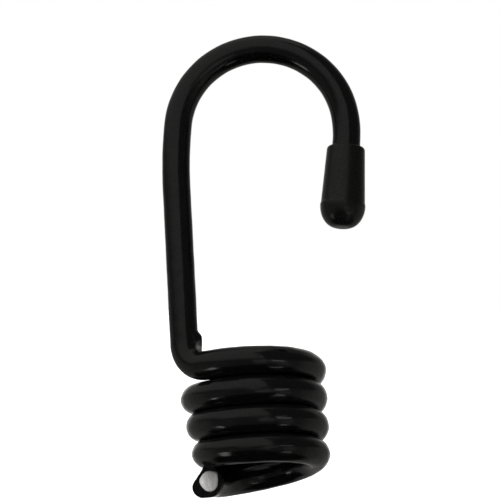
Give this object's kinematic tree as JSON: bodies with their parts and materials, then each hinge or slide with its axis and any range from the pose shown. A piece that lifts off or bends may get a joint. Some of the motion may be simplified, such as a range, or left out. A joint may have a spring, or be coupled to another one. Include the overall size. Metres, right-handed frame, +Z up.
{
  "type": "bungee cord hook",
  "caption": "Bent wire end hook for an elastic cord: open bow, straight shank, coil that grips the cord, soft tip cap.",
  "frame": {"origin": "inner side of the bow's crown, where a bar carries the hook", "axes": "+Z up along the hanging hook, +X to the open side of the bow, +Y to the back"},
  "size_m": [0.0307, 0.023, 0.0703],
  "materials": {
    "steel": "bright drawn wire, sheared end",
    "coat": "smooth glossy black PVC",
    "cap": "satin black soft vinyl"
  },
  "bodies": {
    "root": {"steel_core": "steel", "pvc_sheath": "coat", "tip_cap": "cap"}
  },
  "joints": []
}
